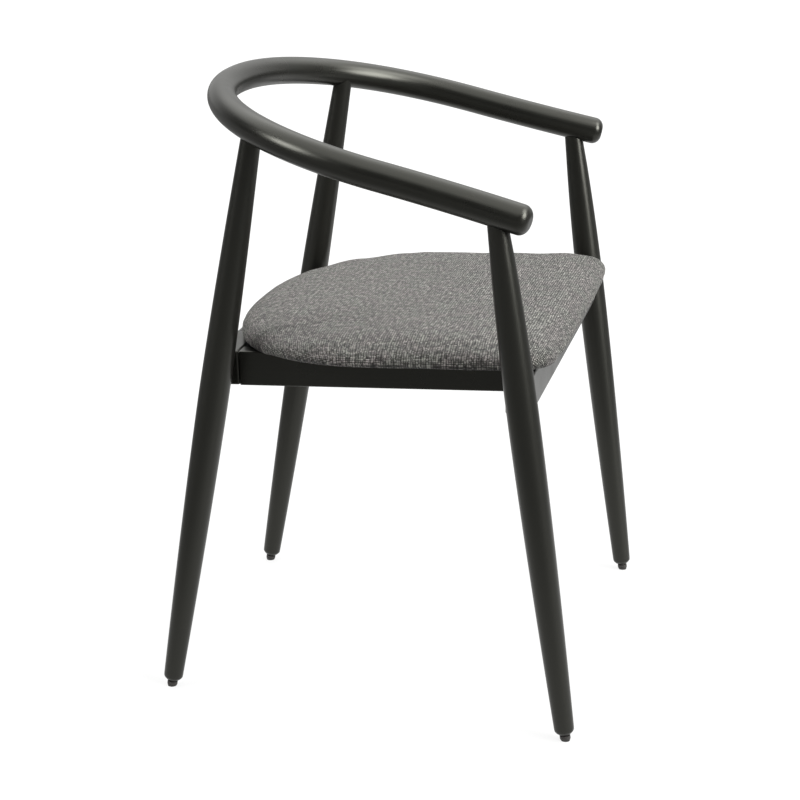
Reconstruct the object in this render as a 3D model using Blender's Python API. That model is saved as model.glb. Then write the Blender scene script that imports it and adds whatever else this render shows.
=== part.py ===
"""Dining armchair with a bent horseshoe rail, four turned legs and an upholstered seat.

Units are metres and +Z is up.  The chair faces -Y, and +X is the sitter's left.
The origin is on the floor, under the middle of the chair.
"""
import math

import bpy
import numpy as np
from mathutils import Vector

# ---------------------------------------------------------------- driving sizes
GAP = 0.0003                    # clearance between neighbouring pieces
SIDES = {"right": -1.0, "left": 1.0}

# Bent rail: a round bar in one plane that falls towards the front.
RAIL_RADIUS = 0.0175
RAIL_HALF_WIDTH = 0.2941
RAIL_BACK_Y = 0.2147
RAIL_SHOULDER_Y = -0.0369
RAIL_BACK_POWER = 2.15
ARM_END_X = 0.3097
ARM_END_Y = -0.2035
ARM_END_Z = 0.6147
RAIL_SLOPE = 0.2457
ARM_END_ROUNDING = 0.008
RAIL_SEGMENTS = 60
RAIL_SIDES = 24

# Legs: straight axes from the floor to the middle of the bent rail.
FLOOR_POINTS = {"rear": (0.2282, 0.2495), "front": (0.2888, -0.2489)}
TOP_POINTS = {"rear": (0.2216, 0.1305, 0.6982), "front": (0.3033, -0.1651, 0.6236)}
LEG_SIDES = 24
LEG_RINGS = 14
PIN_SIDES = 12                  # dowels, screws and their bores
GLIDE_SIDES = 20
LEG_MAX_RADIUS = 0.0182
LEG_MAX_HEIGHT = 0.375
LEG_FOOT_RADIUS = 0.0113
LEG_TOP_RADIUS = {"rear": 0.0113, "front": 0.0108}
LEG_TOP_POWER = {"rear": 1.55, "front": 2.15}
LEG_FOOT_POWER = 1.6
LEG_FOOT_LIFT = 0.0084          # along the axis, room for the glide
LEG_CHAMFER = 0.0052

# Glides: nylon feet on a pin.
GLIDE_PIN_RADIUS = 0.0025
GLIDE_PIN_DEPTH = 0.012
GLIDE_COLLAR_RADIUS = 0.0047
GLIDE_RADIUS = 0.0063

# Seat frame: four rails in a plane that rises towards the front.
FRAME_Z = 0.3852                # underside of the frame at y = 0
FRAME_TILT = math.atan(0.030)
FRAME_HEIGHT = 0.042
RAIL_THICKNESS = 0.030
REAR_RAIL_INNER = 0.1625
FRONT_RAIL_OUTER = -0.2043
SIDE_RAIL_OUTER = 0.194
SIDE_RAIL_THICKNESS = 0.024
EDGE_ROUNDING = 0.0025
TENON_THICKNESS = 0.010
TENON_HEIGHT = 0.028
TENON_PAST_AXIS = 0.003
TENON_ROOT = 0.010              # how far the tenon starts inside the side rail's face
COPE_BEFORE_AXIS = 0.0105       # the wood stops this far before the axis of the leg
REAR_END_SETBACK = 0.0012       # of the end of the rear rail, from the side rail's face
STUB_SETBACK = 0.008            # of the stub's face, from the rear rail's inner face
STUB_MARGIN = 0.004             # above and below the stub

# Fixings inside the wood.
OVERRUN = 0.01                  # how far a cutter passes the face that it opens
DOWEL_RADIUS = 0.004
DOWEL_HALF_LENGTH = 0.018
DOWEL_LEVELS = {"low": -0.009, "high": 0.009}   # from the middle of the rail
LEG_DOWEL_RADIUS = 0.005
LEG_DOWEL_IN_LEG = 0.034
LEG_DOWEL_IN_RAIL = 0.004       # past the middle of the bent rail
BLOCK_SIZE = 0.062
BLOCK_TIP = 0.014
BLOCK_LOW = 0.008
BLOCK_HIGH = 0.032
SCREW_RADIUS = 0.002
SCREW_HEAD_RADIUS = 0.0045
SCREW_HEAD_HEIGHT = 0.0025
SCREW_FROM_CORNER = 0.023
SCREW_IN_BOARD = 0.009

# Seat: board, foam and cover share one plan outline.
SEAT_HALF_WIDTH = 0.2690
SEAT_FRONT_HALF_WIDTH = 0.2680
SEAT_BACK_Y = 0.1910
SEAT_FRONT_Y = -0.2235
SEAT_FRONT_BOW = 0.0060
SEAT_SHOULDER_Y = -0.0162
SEAT_BACK_POWER = 2.38
SEAT_CORNER_RADIUS = 0.042
SEAT_CENTRE_Y = -0.0165
SEAT_REACH = 0.2075             # shortest way from that centre to the outline
SEAT_EDGE_HEIGHT = 0.008        # of the widest line, above the frame
SEAT_SHOULDER_HEIGHT = 0.0308
SEAT_CROWN = 0.0062
SEAT_EDGE_POWER = 20
COVER_THICKNESS = 0.0012
COVER_HEM = 0.915
FOAM_HEM = 0.90
BOARD_THICKNESS = 0.012
BOARD_SCALE = 0.955
CLOTH_THICKNESS = 0.0006
CLOTH_SCALE = 0.93


# ---------------------------------------------------------------- scene helpers
def clear_scene():
    for obj in list(bpy.data.objects):
        bpy.data.objects.remove(obj, do_unlink=True)


def make_material(name, colour, roughness, metallic=0.0):
    material = bpy.data.materials.new(name)
    material.use_nodes = True
    shader = material.node_tree.nodes["Principled BSDF"]
    shader.inputs["Base Color"].default_value = (*colour, 1.0)
    shader.inputs["Roughness"].default_value = roughness
    shader.inputs["Metallic"].default_value = metallic
    material.diffuse_color = (*colour, 1.0)
    return material


def add_object(name, points, faces, material=None, sharp_angle=35.0):
    mesh = bpy.data.meshes.new(name)
    mesh.from_pydata([tuple(p) for p in points], [], faces)
    mesh.validate()
    mesh.update()
    mesh.shade_smooth()
    mesh.set_sharp_from_angle(angle=math.radians(sharp_angle))
    obj = bpy.data.objects.new(name, mesh)
    bpy.context.scene.collection.objects.link(obj)
    if material is not None:
        mesh.materials.append(material)
    return obj


def stack_rings(rings):
    """Join closed rings of equal length into one solid, capped at both ends."""
    count = len(rings[0])
    points = [p for ring in rings for p in ring]
    faces = []
    for i in range(len(rings) - 1):
        for j in range(count):
            k = (j + 1) % count
            faces.append((i * count + j, i * count + k, (i + 1) * count + k, (i + 1) * count + j))
    faces.append(tuple(reversed(range(count))))
    last = (len(rings) - 1) * count
    faces.append(tuple(last + j for j in range(count)))
    return points, faces


def make_cutter(name, points, faces):
    cutter = add_object(name, points, faces)
    cutter.hide_render = True
    cutter.display_type = "WIRE"
    return cutter


def use_boolean(obj, other, operation):
    modifier = obj.modifiers.new(operation.lower(), "BOOLEAN")
    modifier.operation = operation
    modifier.solver = "EXACT"
    modifier.object = other


def use_bevel(obj, width, segments=2):
    modifier = obj.modifiers.new("edge_rounding", "BEVEL")
    modifier.width = width
    modifier.segments = segments
    modifier.limit_method = "ANGLE"
    modifier.angle_limit = math.radians(40.0)


# ---------------------------------------------------------------- shape helpers
def axis_rings(base, direction, profile, sides):
    """Rings round a straight axis; profile lists (distance along the axis, radius)."""
    direction = Vector(direction).normalized()
    across = direction.orthogonal().normalized()
    other = direction.cross(across)
    rings = []
    for distance, radius in profile:
        ring = []
        for j in range(sides):
            angle = 2.0 * math.pi * j / sides
            ring.append(base + direction * distance
                        + (across * math.cos(angle) + other * math.sin(angle)) * radius)
        rings.append(ring)
    return rings


def turned(base, direction, profile, sides):
    return stack_rings(axis_rings(base, direction, profile, sides))


def seat_point(x, along, up):
    """Chair coordinates of a point given in the plane of the tilted seat frame.

    along is the distance towards the back and up the height over the underside of the frame.
    """
    cosine, sine = math.cos(FRAME_TILT), math.sin(FRAME_TILT)
    return Vector((x, along * cosine + up * sine, FRAME_Z - along * sine + up * cosine))


def seat_direction(x, along, up):
    return (seat_point(x, along, up) - seat_point(0.0, 0.0, 0.0)).normalized()


def seat_prism(outline, low, high):
    """A solid from a plan outline, given anticlockwise, between two heights."""
    return stack_rings([[seat_point(x, y, h) for x, y in outline] for h in (low, high)])


def seat_box(x0, x1, along0, along1, low, high):
    return seat_prism([(x0, along0), (x1, along0), (x1, along1), (x0, along1)], low, high)


# ---------------------------------------------------------------- bent rail
def rail_half_path():
    """Middle line of the left half, from the back to the end of the arm."""
    plan = []
    for angle in np.linspace(0.0, math.pi / 2.0, 240):
        x = RAIL_HALF_WIDTH * math.sin(angle) ** (2.0 / RAIL_BACK_POWER)
        reach = max(math.cos(angle), 0.0) ** (2.0 / RAIL_BACK_POWER)
        plan.append((x, RAIL_SHOULDER_Y + (RAIL_BACK_Y - RAIL_SHOULDER_Y) * reach))
    for t in np.linspace(0.0, 1.0, 80)[1:]:
        x = RAIL_HALF_WIDTH + (ARM_END_X - RAIL_HALF_WIDTH) * t * t
        plan.append((x, RAIL_SHOULDER_Y + (ARM_END_Y - RAIL_SHOULDER_Y) * t))
    return np.array([(x, y, ARM_END_Z + RAIL_SLOPE * (y - ARM_END_Y)) for x, y in plan])


def rail_path():
    """Evenly spaced points from the end of the right arm round to the left."""
    half = rail_half_path()
    whole = np.vstack([half[:0:-1] * (-1.0, 1.0, 1.0), half])
    steps = np.linalg.norm(np.diff(whole, axis=0), axis=1)
    run = np.concatenate([[0.0], np.cumsum(steps)])
    rounding = ARM_END_ROUNDING * (1.0 - np.sin(np.radians([90.0, 60.0, 30.0, 0.0])))
    middle = np.linspace(ARM_END_ROUNDING, run[-1] - ARM_END_ROUNDING, RAIL_SEGMENTS)
    stations = np.concatenate([rounding[:-1], middle, run[-1] - rounding[-2::-1]])
    inset = ARM_END_ROUNDING * (1.0 - np.cos(np.radians([90.0, 60.0, 30.0])))
    radii = np.concatenate([RAIL_RADIUS - inset, np.full(RAIL_SEGMENTS, RAIL_RADIUS),
                            RAIL_RADIUS - inset[::-1]])
    points = np.column_stack([np.interp(stations, run, whole[:, k]) for k in range(3)])
    return points, radii


def rail_solid(extra):
    points, radii = rail_path()
    normal = np.array([0.0, -RAIL_SLOPE, 1.0])
    normal /= np.linalg.norm(normal)
    tangents = np.gradient(points, axis=0)
    tangents[0] = tangents[1]
    tangents[-1] = tangents[-2]
    rings = []
    for point, tangent, radius in zip(points, tangents, radii):
        side = np.cross(tangent / np.linalg.norm(tangent), normal)
        side /= np.linalg.norm(side)
        ring = []
        for j in range(RAIL_SIDES):
            angle = 2.0 * math.pi * j / RAIL_SIDES
            outward = normal * math.cos(angle) + side * math.sin(angle)
            ring.append(point + outward * (radius + extra))
        rings.append(ring)
    return stack_rings(rings)


def build_arm_rail(material):
    obj = add_object("arm_rail", *rail_solid(0.0), material)
    for end in TOP_POINTS:
        for side, sign in SIDES.items():
            base, direction = leg_axis(end, sign)
            length = leg_length(end, sign)
            start = length - LEG_DOWEL_IN_LEG - GAP
            stop = length + LEG_DOWEL_IN_RAIL + GAP
            profile = dowel_profile(start, stop, LEG_DOWEL_RADIUS + GAP)
            bore = turned(base, direction, profile, PIN_SIDES)
            use_boolean(obj, make_cutter(f"cut_rail_bore_{end}_{side}", *bore), "DIFFERENCE")
    return obj


# ---------------------------------------------------------------- legs
def leg_axis(end, sign):
    x, y = FLOOR_POINTS[end]
    tx, ty, tz = TOP_POINTS[end]
    base = Vector((x * sign, y, 0.0))
    return base, (Vector((tx * sign, ty, tz)) - base).normalized()


def leg_length(end, sign):
    tx, ty, tz = TOP_POINTS[end]
    return (Vector((tx * sign, ty, tz)) - leg_axis(end, sign)[0]).length


def leg_radius(end, height):
    if height <= LEG_MAX_HEIGHT:
        share = (LEG_MAX_HEIGHT - height) / LEG_MAX_HEIGHT
        return LEG_MAX_RADIUS - (LEG_MAX_RADIUS - LEG_FOOT_RADIUS) * share ** LEG_FOOT_POWER
    share = (height - LEG_MAX_HEIGHT) / (TOP_POINTS[end][2] - LEG_MAX_HEIGHT)
    return LEG_MAX_RADIUS - (LEG_MAX_RADIUS - LEG_TOP_RADIUS[end]) * share ** LEG_TOP_POWER[end]


def leg_profile(end, sign, extra=0.0):
    length = leg_length(end, sign)
    rise = leg_axis(end, sign)[1].z
    start = LEG_FOOT_LIFT
    foot = leg_radius(end, start * rise) + extra
    profile = [
        (start, foot - LEG_CHAMFER),
        (start + 0.55 * LEG_CHAMFER, foot - 0.35 * LEG_CHAMFER),
    ]
    for distance in np.linspace(start + 1.3 * LEG_CHAMFER, length, LEG_RINGS):
        profile.append((distance, leg_radius(end, distance * rise) + extra))
    return profile


def leg_mid_frame(end, sign):
    """Point where the axis of a leg passes the middle height of the seat frame."""
    base, direction = leg_axis(end, sign)
    origin = seat_point(0.0, 0.0, FRAME_HEIGHT / 2.0)
    normal = seat_direction(0.0, 0.0, 1.0)
    return base + direction * ((origin - base).dot(normal) / direction.dot(normal))


def tenon_box(end, sign, extra):
    """Tenon on the end of the front or rear rail, or its mortise when extra is above zero."""
    tip = abs(leg_mid_frame(end, sign).x) + TENON_PAST_AXIS + extra
    root = SIDE_RAIL_OUTER - TENON_ROOT
    along0, along1 = cross_rail_span(end)
    middle = (along0 + along1) / 2.0
    half = TENON_THICKNESS / 2.0 + extra
    low = (FRAME_HEIGHT - TENON_HEIGHT) / 2.0 - extra
    x0, x1 = sorted((root * sign, tip * sign))
    return seat_box(x0, x1, middle - half, middle + half, low, FRAME_HEIGHT - low)


def build_leg(end, side, material):
    """Turned leg with a coped top, a mortise for the seat rail and bores for dowel and glide."""
    sign = SIDES[side]
    tag = f"{end}_{side}"
    base, direction = leg_axis(end, sign)
    length = leg_length(end, sign)
    leg = add_object(f"leg_{tag}", *turned(base, direction, leg_profile(end, sign), LEG_SIDES), material)
    top = dowel_profile(length - LEG_DOWEL_IN_LEG - GAP, length + OVERRUN, LEG_DOWEL_RADIUS + GAP)
    foot = dowel_profile(0.0, LEG_FOOT_LIFT + GLIDE_PIN_DEPTH + GAP, GLIDE_PIN_RADIUS + GAP)
    cutters = {
        "cope": rail_solid(GAP),
        "mortise": tenon_box(end, sign, GAP),
        "top": turned(base, direction, top, PIN_SIDES),
        "foot": turned(base, direction, foot, PIN_SIDES),
    }
    for name, solid in cutters.items():
        use_boolean(leg, make_cutter(f"cut_leg_{name}_{tag}", *solid), "DIFFERENCE")
    return leg


def build_glide(end, side, material):
    """Nylon foot in line with the leg, cut level with the floor."""
    sign = SIDES[side]
    base, direction = leg_axis(end, sign)
    face = LEG_FOOT_LIFT - GAP
    profile = [
        (-0.0020, GLIDE_RADIUS * 0.72),
        (0.0012, GLIDE_RADIUS * 0.90),
        (0.0028, GLIDE_RADIUS),
        (face - 0.0015, GLIDE_RADIUS),
        (face - 0.0012, GLIDE_COLLAR_RADIUS),
        (face, GLIDE_COLLAR_RADIUS),
        (face + 0.0001, GLIDE_PIN_RADIUS),
        (LEG_FOOT_LIFT + GLIDE_PIN_DEPTH - 0.001, GLIDE_PIN_RADIUS),
        (LEG_FOOT_LIFT + GLIDE_PIN_DEPTH, GLIDE_PIN_RADIUS * 0.5),
    ]
    glide = add_object(f"glide_{end}_{side}", *turned(base, direction, profile, GLIDE_SIDES), material)
    reach = 2.0 * GLIDE_RADIUS
    corners = [(-reach, -reach), (reach, -reach), (reach, reach), (-reach, reach)]
    below = [[base + Vector((x, y, z)) for x, y in corners] for z in (-OVERRUN, 0.0)]
    use_boolean(glide, make_cutter(f"cut_floor_{end}_{side}", *stack_rings(below)), "DIFFERENCE")
    return glide


def dowel_profile(start, stop, radius):
    return [(start, radius), (stop, radius)]


def rounded_dowel_profile(start, stop, radius):
    chamfer = radius * 0.25
    return [
        (start, radius - chamfer),
        (start + chamfer, radius),
        (stop - chamfer, radius),
        (stop, radius - chamfer),
    ]


def build_leg_dowel(end, side, material):
    sign = SIDES[side]
    base, direction = leg_axis(end, sign)
    length = leg_length(end, sign)
    start, stop = length - LEG_DOWEL_IN_LEG, length + LEG_DOWEL_IN_RAIL
    profile = rounded_dowel_profile(start, stop, LEG_DOWEL_RADIUS)
    return add_object(f"leg_dowel_{end}_{side}", *turned(base, direction, profile, PIN_SIDES), material)


# ---------------------------------------------------------------- seat frame
def cross_rail_span(end):
    """Front and back faces of the rear or the front rail, measured along the frame."""
    if end == "rear":
        return REAR_RAIL_INNER, REAR_RAIL_INNER + RAIL_THICKNESS
    return FRONT_RAIL_OUTER, FRONT_RAIL_OUTER + RAIL_THICKNESS


def inner_face(end):
    """The face of the rear or the front rail that looks into the frame."""
    along0, along1 = cross_rail_span(end)
    return along0 if end == "rear" else along1


def inward(end):
    return -1.0 if end == "rear" else 1.0


def side_dowel(end, sign, level, extra):
    """Axis and profile of a dowel between a side rail and a cross rail."""
    x = sign * (SIDE_RAIL_OUTER - SIDE_RAIL_THICKNESS / 2.0)
    middle = seat_point(x, inner_face(end), FRAME_HEIGHT / 2.0 + level)
    start, stop = -DOWEL_HALF_LENGTH - extra, DOWEL_HALF_LENGTH + extra
    if extra > 0.0:
        profile = dowel_profile(start, stop, DOWEL_RADIUS + extra)
    else:
        profile = rounded_dowel_profile(start, stop, DOWEL_RADIUS)
    return turned(middle, seat_direction(0.0, 1.0, 0.0), profile, PIN_SIDES)


def rear_stub(sign, reach):
    """Short stub between the end of the rear rail and the leg."""
    along0, along1 = cross_rail_span("rear")
    x0, x1 = sorted((sign * (SIDE_RAIL_OUTER - TENON_ROOT), sign * reach))
    return seat_box(x0, x1, along0 + STUB_SETBACK, along1 - EDGE_ROUNDING,
                    STUB_MARGIN, FRAME_HEIGHT - STUB_MARGIN)


def build_cross_rail(end, material):
    """Front or rear rail, coped round the legs, with a tenon at each end."""
    along0, along1 = cross_rail_span(end)
    reach = abs(leg_mid_frame(end, 1.0).x) - COPE_BEFORE_AXIS
    half = SIDE_RAIL_OUTER - REAR_END_SETBACK if end == "rear" else reach
    rail = add_object(f"{end}_rail", *seat_box(-half, half, along0, along1, 0.0, FRAME_HEIGHT), material)
    use_bevel(rail, EDGE_ROUNDING)
    for side, sign in SIDES.items():
        if end == "rear":
            use_boolean(rail, make_cutter(f"add_stub_{side}", *rear_stub(sign, reach)), "UNION")
        base, direction = leg_axis(end, sign)
        leg = turned(base, direction, leg_profile(end, sign, GAP), LEG_SIDES)
        use_boolean(rail, make_cutter(f"cut_cope_{end}_{side}", *leg), "DIFFERENCE")
        use_boolean(rail, make_cutter(f"add_tenon_{end}_{side}", *tenon_box(end, sign, 0.0)), "UNION")
        for level, height in DOWEL_LEVELS.items():
            bore = side_dowel(end, sign, height, GAP)
            use_boolean(rail, make_cutter(f"cut_cross_{end}_{side}_{level}", *bore), "DIFFERENCE")
    return rail


def build_side_rail(side, material):
    sign = SIDES[side]
    x0, x1 = sorted((sign * SIDE_RAIL_OUTER, sign * (SIDE_RAIL_OUTER - SIDE_RAIL_THICKNESS)))
    along0 = inner_face("front") + GAP
    along1 = inner_face("rear") - GAP
    rail = add_object(f"side_rail_{side}", *seat_box(x0, x1, along0, along1, 0.0, FRAME_HEIGHT), material)
    use_bevel(rail, EDGE_ROUNDING * 0.6)
    for end in FLOOR_POINTS:
        for level, height in DOWEL_LEVELS.items():
            bore = side_dowel(end, sign, height, GAP)
            use_boolean(rail, make_cutter(f"cut_side_{end}_{side}_{level}", *bore), "DIFFERENCE")
    return rail


def build_side_dowels(end, side, material):
    for level, height in DOWEL_LEVELS.items():
        add_object(f"side_dowel_{end}_{side}_{level}", *side_dowel(end, SIDES[side], height, 0.0), material)


def screw_spot(end, side):
    x = SIDES[side] * (SIDE_RAIL_OUTER - SIDE_RAIL_THICKNESS - SCREW_FROM_CORNER)
    return x, inner_face(end) + inward(end) * SCREW_FROM_CORNER


def screw_bore(end, side, low, high, radius):
    x, along = screw_spot(end, side)
    base, direction = seat_point(x, along, 0.0), seat_direction(0.0, 0.0, 1.0)
    return turned(base, direction, dowel_profile(low, high, radius), PIN_SIDES)


def build_corner_block(end, side, material):
    """Wooden block with a cut tip, glued into a corner of the frame."""
    sign, turn = SIDES[side], inward(end)
    corner_x = SIDE_RAIL_OUTER - SIDE_RAIL_THICKNESS - GAP
    corner_along = inner_face(end) + turn * GAP
    plan = [
        (0.0, 0.0),
        (BLOCK_SIZE, 0.0),
        (BLOCK_SIZE, BLOCK_TIP),
        (BLOCK_TIP, BLOCK_SIZE),
        (0.0, BLOCK_SIZE),
    ]
    outline = [(sign * (corner_x - a), corner_along + turn * b) for a, b in plan]
    if sign * turn > 0.0:
        outline.reverse()
    block = add_object(f"corner_block_{end}_{side}", *seat_prism(outline, BLOCK_LOW, BLOCK_HIGH), material)
    bore = screw_bore(end, side, BLOCK_LOW - OVERRUN, BLOCK_HIGH + OVERRUN, SCREW_RADIUS + GAP)
    use_boolean(block, make_cutter(f"cut_block_{end}_{side}", *bore), "DIFFERENCE")
    return block


def build_seat_screw(end, side, material):
    """Screw that comes up through a corner block into the board."""
    x, along = screw_spot(end, side)
    head = BLOCK_LOW - GAP
    tip = board_low() + SCREW_IN_BOARD
    profile = [
        (head - SCREW_HEAD_HEIGHT, SCREW_HEAD_RADIUS * 0.55),
        (head - SCREW_HEAD_HEIGHT * 0.45, SCREW_HEAD_RADIUS * 0.92),
        (head - 0.0002, SCREW_HEAD_RADIUS),
        (head, SCREW_HEAD_RADIUS * 0.98),
        (head + 0.0001, SCREW_RADIUS),
        (tip - 0.004, SCREW_RADIUS),
        (tip, SCREW_RADIUS * 0.25),
    ]
    solid = turned(seat_point(x, along, 0.0), seat_direction(0.0, 0.0, 1.0), profile, PIN_SIDES)
    return add_object(f"seat_screw_{end}_{side}", *solid, material)


# ---------------------------------------------------------------- seat
def seat_outline():
    """Plan of the cushion, anticlockwise, as points about the middle of the seat."""
    half = []
    for angle in np.linspace(0.0, math.pi / 2.0, 14):
        x = SEAT_HALF_WIDTH * math.sin(angle) ** (2.0 / SEAT_BACK_POWER)
        reach = max(math.cos(angle), 0.0) ** (2.0 / SEAT_BACK_POWER)
        half.append((x, SEAT_SHOULDER_Y + (SEAT_BACK_Y - SEAT_SHOULDER_Y) * reach))
    corner_x = SEAT_FRONT_HALF_WIDTH - SEAT_CORNER_RADIUS
    corner_y = SEAT_FRONT_Y + SEAT_CORNER_RADIUS
    for t in (0.33, 0.67):
        half.append((SEAT_HALF_WIDTH + (SEAT_FRONT_HALF_WIDTH - SEAT_HALF_WIDTH) * t,
                     SEAT_SHOULDER_Y + (corner_y - SEAT_SHOULDER_Y) * t))
    for angle in np.linspace(0.0, math.pi / 2.0, 7):
        half.append((corner_x + SEAT_CORNER_RADIUS * math.cos(angle),
                     corner_y - SEAT_CORNER_RADIUS * math.sin(angle)))
    for t in (0.25, 0.5, 0.75, 1.0):
        half.append((corner_x * (1.0 - t), SEAT_FRONT_Y - SEAT_FRONT_BOW * (1.0 - (1.0 - t) ** 2)))
    mirrored = [(-x, y) for x, y in half[1:-1]]
    return list(reversed(half)) + mirrored


def seat_ring(scale, height):
    """The plan outline drawn at a share of its size, at a height over the frame."""
    ring = []
    for x, y in seat_outline():
        along = SEAT_CENTRE_Y + (y - SEAT_CENTRE_Y) * scale
        ring.append(seat_point(x * scale, along, FRAME_HEIGHT + height))
    return ring


def cushion_height(scale, shrink):
    """Height of the top of the cushion where the plan is drawn at this share of its size."""
    dome = math.sqrt(max(0.0, 1.0 - scale ** SEAT_EDGE_POWER))
    return (SEAT_EDGE_HEIGHT + (SEAT_SHOULDER_HEIGHT - SEAT_EDGE_HEIGHT - shrink) * dome
            + SEAT_CROWN * (1.0 - scale * scale))


def cushion_rings(inset, low, hem_scale):
    """Rings up the side and over the top of a cushion that is inset all round."""
    smaller = inset / SEAT_REACH
    rings = [
        seat_ring(hem_scale, low),
        seat_ring(0.972 - smaller, low),
        seat_ring(0.992 - smaller, low + (SEAT_EDGE_HEIGHT - low) * 0.35),
    ]
    for scale in (1.0, 0.995, 0.975, 0.93, 0.84, 0.66, 0.40, 0.12):
        rings.append(seat_ring(scale - smaller * scale, cushion_height(scale, inset)))
    return rings


def hem_low():
    return GAP + CLOTH_THICKNESS + GAP


def board_low():
    return FRAME_HEIGHT + hem_low() + COVER_THICKNESS + GAP


def build_seat_cover(material):
    """Fabric shell over the foam, turned under the board and open below."""
    outer = cushion_rings(0.0, hem_low(), COVER_HEM)
    inner = cushion_rings(COVER_THICKNESS, hem_low() + COVER_THICKNESS, COVER_HEM)
    count = len(outer[0])
    rings = outer + list(reversed(inner))
    points = [p for ring in rings for p in ring]
    faces = []
    middle = len(outer) - 1
    for i in range(len(rings)):
        following = (i + 1) % len(rings)
        if i == middle:
            continue
        for j in range(count):
            k = (j + 1) % count
            faces.append((i * count + j, i * count + k, following * count + k, following * count + j))
    top = middle * count
    faces.append(tuple(top + j for j in range(count)))
    under = (middle + 1) * count
    faces.append(tuple(under + j for j in reversed(range(count))))
    return add_object("seat_cover", points, faces, material, 60.0)


def build_seat_foam(material):
    """Foam that wraps over the edge of the board."""
    low = board_low() - FRAME_HEIGHT
    rings = cushion_rings(COVER_THICKNESS + 1.5 * GAP, low, FOAM_HEM)
    foam = add_object("seat_foam", *stack_rings(rings), material, 60.0)
    share = BOARD_SCALE + 1.5 * GAP / SEAT_REACH
    room = stack_rings([seat_ring(share, low - OVERRUN), seat_ring(share, low + BOARD_THICKNESS + GAP)])
    use_boolean(foam, make_cutter("cut_board_room", *room), "DIFFERENCE")
    return foam


def build_seat_board(material):
    """Plywood panel under the foam, with a pilot hole for each seat screw."""
    low = board_low() - FRAME_HEIGHT
    rings = [seat_ring(BOARD_SCALE, low), seat_ring(BOARD_SCALE, low + BOARD_THICKNESS)]
    board = add_object("seat_board", *stack_rings(rings), material)
    for end in FLOOR_POINTS:
        for side in SIDES:
            low, high = board_low() - OVERRUN, board_low() + SCREW_IN_BOARD + GAP
            bore = screw_bore(end, side, low, high, SCREW_RADIUS + GAP)
            use_boolean(board, make_cutter(f"cut_board_{end}_{side}", *bore), "DIFFERENCE")
    return board


def build_dust_cloth(material):
    """Lining under the seat, with a hole for each seat screw."""
    rings = [seat_ring(CLOTH_SCALE, GAP), seat_ring(CLOTH_SCALE, GAP + CLOTH_THICKNESS)]
    cloth = add_object("dust_cloth", *stack_rings(rings), material)
    for end in FLOOR_POINTS:
        for side in SIDES:
            low, high = FRAME_HEIGHT - OVERRUN, FRAME_HEIGHT + OVERRUN
            bore = screw_bore(end, side, low, high, SCREW_RADIUS + 2.0 * GAP)
            use_boolean(cloth, make_cutter(f"cut_cloth_{end}_{side}", *bore), "DIFFERENCE")
    return cloth


# ---------------------------------------------------------------- assembly
def build_chair():
    clear_scene()
    black_wood = make_material("black_wood", (0.016, 0.016, 0.014), 0.38)
    plain_wood = make_material("plain_wood", (0.52, 0.38, 0.23), 0.62)
    nylon = make_material("black_nylon", (0.022, 0.019, 0.017), 0.45)
    fabric = make_material("grey_weave", (0.150, 0.146, 0.146), 0.90)
    foam = make_material("white_foam", (0.78, 0.75, 0.66), 0.95)
    lining = make_material("black_lining", (0.018, 0.018, 0.019), 0.92)
    steel = make_material("zinc_steel", (0.58, 0.58, 0.56), 0.34, 1.0)

    build_arm_rail(black_wood)
    for end in FLOOR_POINTS:
        build_cross_rail(end, black_wood)
        for side in SIDES:
            build_leg(end, side, black_wood)
            build_glide(end, side, nylon)
            build_leg_dowel(end, side, plain_wood)
            build_side_dowels(end, side, plain_wood)
            build_corner_block(end, side, black_wood)
            build_seat_screw(end, side, steel)
    for side in SIDES:
        build_side_rail(side, black_wood)
    build_seat_board(plain_wood)
    build_seat_foam(foam)
    build_seat_cover(fabric)
    build_dust_cloth(lining)


build_chair()
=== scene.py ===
"""Looks of the dining armchair: black lacquered wood and a woven grey seat in a pale studio."""
import math

import bmesh
import bpy
import numpy as np
from mathutils import Matrix, Vector, noise
from mathutils.kdtree import KDTree


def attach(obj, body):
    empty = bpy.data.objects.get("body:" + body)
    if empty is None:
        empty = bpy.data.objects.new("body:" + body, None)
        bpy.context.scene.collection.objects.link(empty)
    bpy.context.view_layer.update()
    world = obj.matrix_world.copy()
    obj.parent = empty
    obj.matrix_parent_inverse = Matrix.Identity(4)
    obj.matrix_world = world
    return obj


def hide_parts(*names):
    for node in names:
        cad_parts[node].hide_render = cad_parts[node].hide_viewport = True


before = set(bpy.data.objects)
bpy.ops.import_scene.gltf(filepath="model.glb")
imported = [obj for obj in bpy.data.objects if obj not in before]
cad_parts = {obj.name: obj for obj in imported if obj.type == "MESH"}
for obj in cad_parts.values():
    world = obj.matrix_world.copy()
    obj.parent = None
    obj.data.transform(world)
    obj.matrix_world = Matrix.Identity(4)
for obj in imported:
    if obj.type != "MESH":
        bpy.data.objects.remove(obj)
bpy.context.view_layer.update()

# ---------------------------------------------------------------- camera
CAMERA_PLACE = (-2.6024, -0.5565, 1.0868)
CAMERA_AIM = (-0.0216, 0.0041, 0.3219)
CAMERA_ROLL = math.radians(-0.31)
CAMERA_LENS = 98.1

# ---------------------------------------------------------------- sizes of the chair
GAP = 0.0003
CUT_MARGIN = 0.01                       # how far a cut reaches past the surface that it opens
ENDS = ("rear", "front")
SIDES = {"right": -1.0, "left": 1.0}

RAIL_RADIUS = 0.0175
RAIL_HALF_WIDTH = 0.2941
RAIL_BACK_Y = 0.2147
RAIL_SHOULDER_Y = -0.0369
RAIL_BACK_POWER = 2.15
ARM_END = (0.3097, -0.2035, 0.6147)
RAIL_SLOPE = 0.2457
ARM_END_ROUNDING = 0.0115               # larger than in the CAD

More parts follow.
